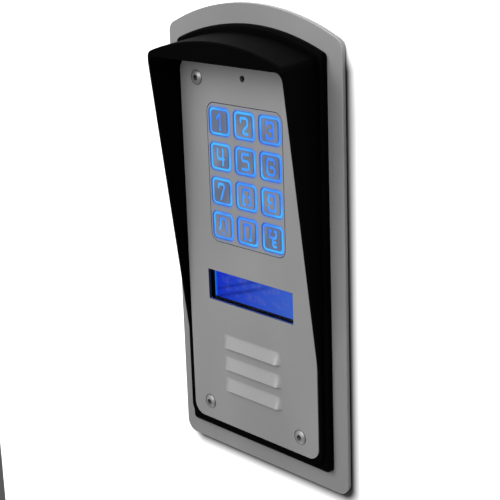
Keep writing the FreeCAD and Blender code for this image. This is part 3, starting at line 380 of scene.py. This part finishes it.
def key_glow():
    """Clear key body lit from behind: blue, brightest along the middle of the ring."""
    g = Graph("key_glow")
    _, x, _, z = g.place()
    distance = key_distance(g, x, z)
    from_ring = g.math("ABSOLUTE", g.math("ADD", distance, RING_MIDDLE))
    core = g.ramp(from_ring, 0.0, RING_FADE, 1.0, 0.0)
    towards_ends = g.ramp(g.math("ABSOLUTE", from_key_row(g, z)), *KEY_END_FADE, 0.0, 1.0)
    cloud = g.ramp(g.noise((70, 70, 70), 1.0), 0.38, 0.6, 0.0, 1.0)
    patches = g.math("MAXIMUM", towards_ends, cloud)
    cyan = g.math("MULTIPLY", g.math("MULTIPLY", core, patches), cloud)
    colour = g.mix(core, GLOW_EDGE, GLOW_CORE)
    colour = g.mix(cyan, colour, GLOW_CYAN)
    legend = g.math("LESS_THAN", distance, LEGEND_EDGE)
    figure = g.mix(cloud, GLOW_FIGURE, GLOW_FIGURE_BRIGHT)
    colour = g.mix(legend, colour, figure)
    g.plug(colour, g.shader.inputs["Emission Color"])
    g.set(Base_Color=KEY_BODY, Emission_Strength=1.0, Roughness=0.35)
    g.set(Specular_IOR_Level=0.2)
    return g.material


def display_cell():
    """Blue negative display: lit field, two rows of faint character blocks and soft painted reflection
    streaks.
    """
    g = Graph("display_cell")
    _, x, _, z = g.place()
    low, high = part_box("lcd_glass")
    middle_z = (low.z + high.z) / 2
    across = g.ramp(x, *FIELD_FADE, 0.0, 1.0)
    field = g.mix(across, CELL_LEFT, CELL_RIGHT)
    column = g.math("ABSOLUTE", g.math("WRAP", x, CHARACTER_HALF_PITCH, -CHARACTER_HALF_PITCH))
    above = g.math("ABSOLUTE", g.math("SUBTRACT", z, middle_z))
    row = g.math("ABSOLUTE", g.math("SUBTRACT", above, CHARACTER_ROW))
    block = g.math("MULTIPLY", g.math("LESS_THAN", column, CHARACTER_HALF_SIZE[0]),
                   g.math("LESS_THAN", row, CHARACTER_HALF_SIZE[1]))
    from_dot = g.math("ABSOLUTE", g.math("WRAP", x, DOT_HALF_PITCH, -DOT_HALF_PITCH))
    dots = g.math("LESS_THAN", from_dot, DOT_HALF_SIZE)
    patchy = g.ramp(g.noise((160, 160, 260), 1.0), 0.45, 0.6, 0.0, 1.0)
    within = g.ramp(g.math("ABSOLUTE", x), *CHARACTERS_END, 1.0, 0.0)
    block = g.math("MULTIPLY", g.math("MULTIPLY", block, dots), g.math("MULTIPLY", patchy, within))
    field = g.mix(g.math("MULTIPLY", block, CHARACTER_STRENGTH), field, CHARACTER_TINT)
    # Painted reflection: darker slanting streaks across the lit field, fading towards the right
    slant = g.math("SUBTRACT", z, g.math("MULTIPLY", x, STREAK_SLOPE))
    fade = g.ramp(x, *STREAK_FADE, 1.0, 0.0)
    for offset, half_width, depth in REFLECTION_STREAKS:
        away = g.math("ABSOLUTE", g.math("SUBTRACT", slant, offset * MM))
        streak = g.ramp(away, 0.0, half_width * MM, depth, 0.0)
        field = g.mix(g.math("MULTIPLY", streak, fade), field, REFLECTION_TINT)
    edge = g.ramp(x, *CELL_EDGE_FADE, 0.9, 0.0)
    field = g.mix(edge, field, CELL_EDGE_TINT)
    g.plug(field, g.shader.inputs["Emission Color"])
    g.set(Base_Color=CELL_BODY, Emission_Strength=1.0, Roughness=0.25)
    g.set(Specular_IOR_Level=0.0)
    return g.material


def moulded_plastic(name, colour, roughness=0.5, texture=0.00001, gloss=0.2, cells=2600):
    """Injection-moulded plastic with a fine spark-eroded skin."""
    g = Graph(name)
    skin = g.noise((cells, cells, cells), 2.0)
    cloud = g.noise((25, 25, 25), 2.0)
    darker = tuple(0.75 * c for c in colour[:3]) + (1,)
    g.plug(g.mix(g.ramp(cloud, 0.3, 0.7, 0.0, 1.0), colour, darker), g.shader.inputs["Base Color"])
    g.plug(g.ramp(skin, 0.3, 0.7, roughness - 0.05, roughness + 0.06), g.shader.inputs["Roughness"])
    g.set(Specular_IOR_Level=gloss)
    g.bump(skin, texture)
    return g.material


def clear_pane():
    g = Graph("clear_pane")
    g.set(Base_Color=(0.97, 0.98, 1.0, 1), Roughness=0.02, IOR=1.30, Transmission_Weight=1.0)
    g.set(Specular_IOR_Level=0.1)
    return g.material


def polished_steel():
    """Turned screw heads, with painted shade in their sockets and round the edge of their heads."""
    g = Graph("polished_steel")
    _, x, _, z = g.place()
    from_x = g.math("SUBTRACT", g.math("ABSOLUTE", x), SCREW_AT[0])
    from_z = g.math("SUBTRACT", g.math("ABSOLUTE", z), SCREW_AT[1])
    square = g.math("ADD", g.math("MULTIPLY", from_x, from_x), g.math("MULTIPLY", from_z, from_z))
    from_axis = g.math("SQRT", square)
    # Painted shade: dark in the socket, and darker towards the edge of the head
    outside_socket = g.ramp(from_axis, *SOCKET_FADE, 0.0, 1.0)
    rim = g.ramp(from_axis, *RIM_FADE, 1.0, 0.25)
    colour = g.mix(g.math("MULTIPLY", outside_socket, rim), grey(SOCKET_SHADE_TONE), grey(HEAD_TONE))
    g.plug(colour, g.shader.inputs["Base Color"])
    turned = g.noise((900, 900, 900), 2.0)
    g.plug(g.ramp(turned, 0.3, 0.7, 0.28, 0.4), g.shader.inputs["Roughness"])
    g.set(Metallic=METAL_SHARE)
    return g.material


def plain_metal(name, colour, roughness):
    g = Graph(name)
    cloud = g.noise((400, 400, 400), 2.0)
    g.plug(g.ramp(cloud, 0.3, 0.7, roughness - 0.06, roughness + 0.08), g.shader.inputs["Roughness"])
    g.set(Base_Color=colour, Metallic=1.0)
    return g.material


def circuit_board():
    """Green solder mask with darker and lighter patches like copper under it."""
    g = Graph("circuit_board")
    tracks = g.noise((700, 10, 90), 1.0)
    mask = g.math("GREATER_THAN", tracks, 0.52)
    g.plug(g.mix(mask, (0.012, 0.10, 0.045, 1), (0.02, 0.16, 0.07, 1)), g.shader.inputs["Base Color"])
    g.set(Roughness=0.35)
    return g.material


def soft(name, colour, roughness=0.85, cells=900):
    """Foam, felt, rubber or paper: a dull surface with a visible grain."""
    g = Graph(name)
    grain = g.noise((cells, cells, cells), 3.0, 0.7)
    paler = tuple(1.5 * c for c in colour[:3]) + (1,)
    g.plug(g.mix(g.ramp(grain, 0.35, 0.7, 0.0, 1.0), colour, paler), g.shader.inputs["Base Color"])
    g.set(Roughness=roughness, Specular_IOR_Level=0.2)
    g.bump(grain, 0.00004)
    return g.material


def lit_plastic(name, colour, strength):
    g = Graph(name)
    g.set(Base_Color=colour, Emission_Color=colour, Emission_Strength=strength, Roughness=0.4)
    return g.material


def make_materials():
    """One material for each slot of the record."""
    steel = (0.40, 0.40, 0.41, 1)
    return {
        "trim_steel": brushed_steel("trim_steel", TRIM_TONE),
        "panel_steel": brushed_steel("panel_steel", METAL_TONE, spill=display_spill),
        "key_steel": brushed_steel("key_steel", METAL_TONE, spill=key_spill),
        "screw_steel": polished_steel(),
        "plated_steel": plain_metal("plated_steel", steel, 0.42),
        "black_steel": moulded_plastic("black_steel", (0.0012, 0.0015, 0.003, 1), 0.4, gloss=0.05),
        "brass": plain_metal("brass", (0.60, 0.42, 0.16, 1), 0.28),
        "hood_plastic": moulded_plastic("hood_plastic", (0.0005, 0.0005, 0.0006, 1), 0.6, gloss=0.012),
        "black_plastic": moulded_plastic("black_plastic", (0.01, 0.01, 0.011, 1)),
        "box_plastic": moulded_plastic("box_plastic", (0.06, 0.06, 0.065, 1), 0.55, gloss=0.4),
        "relay_case": moulded_plastic("relay_case", (0.01, 0.04, 0.22, 1), 0.25, gloss=0.5),
        "terminal_plastic": moulded_plastic("terminal_plastic", (0.02, 0.20, 0.06, 1), 0.35, gloss=0.5),
        "circuit_board": circuit_board(),
        "light_guide": lit_plastic("light_guide", (0.10, 0.22, 0.9, 1), 0.6),
        "led_lens": lit_plastic("led_lens", (0.15, 0.4, 1.0, 1), 2.0),
        "silicone": soft("silicone", (0.35, 0.38, 0.42, 1), 0.6),
        "foam_rubber": soft("foam_rubber", (0.008, 0.008, 0.008, 1)),
        "soft_rubber": soft("soft_rubber", (0.012, 0.012, 0.012, 1), 0.65, 2500),
        "felt": soft("felt", (0.01, 0.01, 0.01, 1), 0.95, 1800),
        "speaker_paper": soft("speaker_paper", (0.012, 0.012, 0.012, 1), 0.9, 1200),
        "ferrite": moulded_plastic("ferrite", (0.02, 0.02, 0.022, 1), 0.6, gloss=0.5),
        "aluminium_can": plain_metal("aluminium_can", (0.30, 0.30, 0.31, 1), 0.45),
        "key_glow": key_glow(),
        "display_cell": display_cell(),
        "clear_pane": clear_pane(),
    }


def dress_nodes(materials):
    for part in frame["record"]["subparts"]:
        node = NODES[part["node"]]
        material = materials[part["material_slot"]]
        if not node.material_slots:
            node.data.materials.append(material)
        for place in node.material_slots:
            place.material = material


# ---------------------------------------------------------------- key mat


def near(point, centre):
    """Whether a point lies within a dome's reach of its key's axis."""
    return math.hypot(point.x - centre.x, point.z - centre.z) < DOME_REACH


def part_of_mat(name, material, centres, wanted):
    """Copy of the mat's faces that `wanted` picks, closed along the rings where it was cut."""
    mat = NODES["keymat"]
    shape = bmesh.new()
    shape.from_mesh(mat.data)
    shape.transform(mat.matrix_world)
    bmesh.ops.remove_doubles(shape, verts=shape.verts, dist=MERGE)
    rest = [face for face in shape.faces if not wanted(face)]
    bmesh.ops.delete(shape, geom=rest, context="FACES")
    for centre in centres:
        ring = [e for e in shape.edges if e.is_boundary and all(near(v.co, centre) for v in e.verts)]
        if ring:
            bmesh.ops.bridge_loops(shape, edges=ring)
    bmesh.ops.recalc_face_normals(shape, faces=shape.faces)
    mesh = bpy.data.meshes.new(name)
    shape.to_mesh(mesh)
    shape.free()
    mesh.materials.append(material)
    piece = bpy.data.objects.new(name, mesh)
    bpy.context.scene.collection.objects.link(piece)
    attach(piece, body_of(mat)[0])
    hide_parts("keymat")
    return piece


def split_keymat(silicone):
    """The mat as a sheet and twelve domes, each dome a piece with its own mesh."""
    low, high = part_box("keymat")
    keys = [name[len("key_light_"):] for name in NODES if name.startswith("key_light_")]
    centres = {}
    for key in keys:
        key_low, key_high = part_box("key_light_" + key)
        centres[key] = (key_low + key_high) / 2

    def in_dome(face, centre):
        return all(near(v.co, centre) for v in face.verts)

    part_of_mat("keymat_sheet", silicone, centres.values(),
                lambda face: not any(in_dome(face, c) for c in centres.values()))
    for key, centre in centres.items():
        dome = part_of_mat("keymat_dome_" + key, silicone, [centre],
                           lambda face, at=centre: in_dome(face, at))
        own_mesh(dome)


# ---------------------------------------------------------------- stage, light and camera


def sheet(name, corners, faces, material):
    """Flat mesh that belongs to the stage and not to the panel."""
    mesh = bpy.data.meshes.new(name)
    mesh.from_pydata(corners, [], faces)
    made = bpy.data.objects.new(name, mesh)
    bpy.context.scene.collection.objects.link(made)
    made.data.materials.append(material)


def shaded_backdrop():
    """White board with the panel's soft shadow painted on it, falling to the right and below."""
    g = Graph("shaded_backdrop")
    _, x, _, z = g.place()
    low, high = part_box("back_plate")
    top = high.z - SHADOW_TOP
    middle_z = (low.z + top) / 2
    across = g.math("ABSOLUTE", g.math("SUBTRACT", x, SHADOW_RIGHT))
    up = g.math("ABSOLUTE", g.math("SUBTRACT", z, middle_z - SHADOW_DOWN))
    distance = rounded_box_distance(g, across, up, high.x, top - middle_z, SHADOW_CORNER)
    # Painted shadow: darkest along the shifted outline of the trim plate, fading out over SHADOW_REACH
    shade = g.ramp(distance, -SHADOW_RIGHT, SHADOW_REACH, SHADOW_DEPTH, 1.0)
    g.plug(g.mix(shade, BLACK, grey(STAGE_WHITE)), g.shader.inputs["Base Color"])
    g.set(Roughness=STAGE_ROUGHNESS, Specular_IOR_Level=0.0)
    return g.material


def stage():
    """Board round the trim plate, as four strips round its opening, and the floor."""
    g = Graph("studio_white")
    g.set(Base_Color=grey(STAGE_WHITE), Roughness=STAGE_ROUGHNESS, Specular_IOR_Level=0.0)
    shaded = shaded_backdrop()
    half = WALL_SIZE / 2
    outer = [(-half, 0, -half), (half, 0, -half), (half, 0, half), (-half, 0, half)]
    low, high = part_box("back_plate")
    side, foot, head = high.x - RECESS_INSET, low.z + RECESS_INSET, high.z - RECESS_TOP
    inner = [(-side, 0, foot), (side, 0, foot), (side, 0, head), (-side, 0, head)]
    strips = [(n, (n + 1) % 4, (n + 1) % 4 + 4, n + 4) for n in range(4)]
    sheet("backdrop", outer + inner, strips, shaded)
    reach = FLOOR_SIZE / 2
    floor = [(-reach, -reach, FLOOR_Z), (reach, -reach, FLOOR_Z), (reach, reach, FLOOR_Z),
             (-reach, reach, FLOOR_Z)]
    sheet("floor", floor, [(0, 1, 2, 3)], g.material)


def area_light(name, at, target, size, power):
    light = bpy.data.lights.new(name, "AREA")
    light.shape = "DISK"
    light.size = size
    light.energy = power
    made = bpy.data.objects.new(name, light)
    made.location = at
    away = Vector(at) - Vector(target)
    made.rotation_euler = away.to_track_quat("Z", "Y").to_euler()
    bpy.context.scene.collection.objects.link(made)


def studio_world():
    """Bright above the horizon and dim below it, like a lit studio with a dark room behind."""
    world = bpy.data.worlds.new("studio")
    world.use_nodes = True
    tree = world.node_tree
    background = tree.nodes["Background"]
    direction = tree.nodes.new("ShaderNodeTexCoord").outputs["Generated"]
    split = tree.nodes.new("ShaderNodeSeparateXYZ")
    tree.links.new(direction, split.inputs[0])
    level = tree.nodes.new("ShaderNodeMapRange")
    tree.links.new(split.outputs["Z"], level.inputs["Value"])
    level.inputs["From Min"].default_value = WORLD_FADE[0]
    level.inputs["From Max"].default_value = WORLD_FADE[1]
    level.inputs["To Min"].default_value = WORLD_LOW
    level.inputs["To Max"].default_value = WORLD_HIGH
    tree.links.new(level.outputs[0], background.inputs["Strength"])
    background.inputs["Color"].default_value = grey(1.0)
    bpy.context.scene.world = world


def lights():
    studio_world()
    for name, at, size, power in LIGHTS:
        area_light(name, at, (0, 0, 0), size, power)


def camera():
    """Camera at the viewing angle; its roll turns the picture slightly."""
    azimuth, elevation, roll = [math.radians(a) for a in (CAMERA_AZIMUTH, CAMERA_ELEVATION,
                                                          CAMERA_ROLL)]
    ahead = Vector((-math.sin(azimuth) * math.cos(elevation),
                    math.cos(azimuth) * math.cos(elevation), -math.sin(elevation)))
    right = ahead.cross(Vector((0, 0, 1))).normalized()
    up = right.cross(ahead)
    image_right = math.cos(roll) * right + math.sin(roll) * up
    image_up = math.cos(roll) * up - math.sin(roll) * right
    turn = Matrix((image_right, image_up, -ahead)).transposed()
    lens = bpy.data.cameras.new("camera")
    lens.lens = CAMERA_LENS
    lens.sensor_width = CAMERA_SENSOR
    made = bpy.data.objects.new("camera", lens)
    made.matrix_world = Matrix.Translation(CAMERA_AT) @ turn.to_4x4()
    bpy.context.scene.collection.objects.link(made)
    bpy.context.scene.camera = made


def main():
    camera()
    stage()
    lights()
    materials = make_materials()
    dress_nodes(materials)
    split_keymat(materials["silicone"])
    bpy.context.scene.view_settings.view_transform = "Standard"


main()
